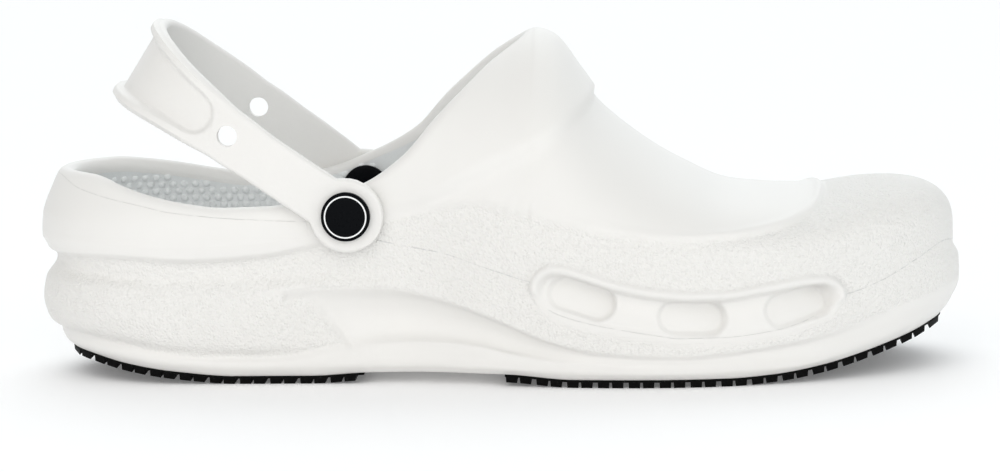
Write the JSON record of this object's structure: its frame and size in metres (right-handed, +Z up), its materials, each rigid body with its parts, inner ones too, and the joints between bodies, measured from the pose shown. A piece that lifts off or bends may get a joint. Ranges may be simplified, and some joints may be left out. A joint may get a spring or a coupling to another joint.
{
  "type": "chef clog",
  "caption": "Closed-toe moulded foam work clog for the right foot, with an open heel cup, a riveted heel strap and rubber treads.",
  "frame": {"origin": "on the floor under the middle of the bounding box", "axes": "+X from heel to toe, +Y to the medial side, +Z up"},
  "size_m": [0.291, 0.1128, 0.1109],
  "materials": {
    "foam": "satin moulded closed-cell foam",
    "rivet": "glossy",
    "tread": "matte"
  },
  "bodies": {
    "root": {"clog_body": "foam", "heel_strap": "foam", "rivet_lateral": "rivet", "rivet_medial": "rivet", "heel_tread": "tread", "forefoot_tread": "tread"}
  },
  "joints": []
}
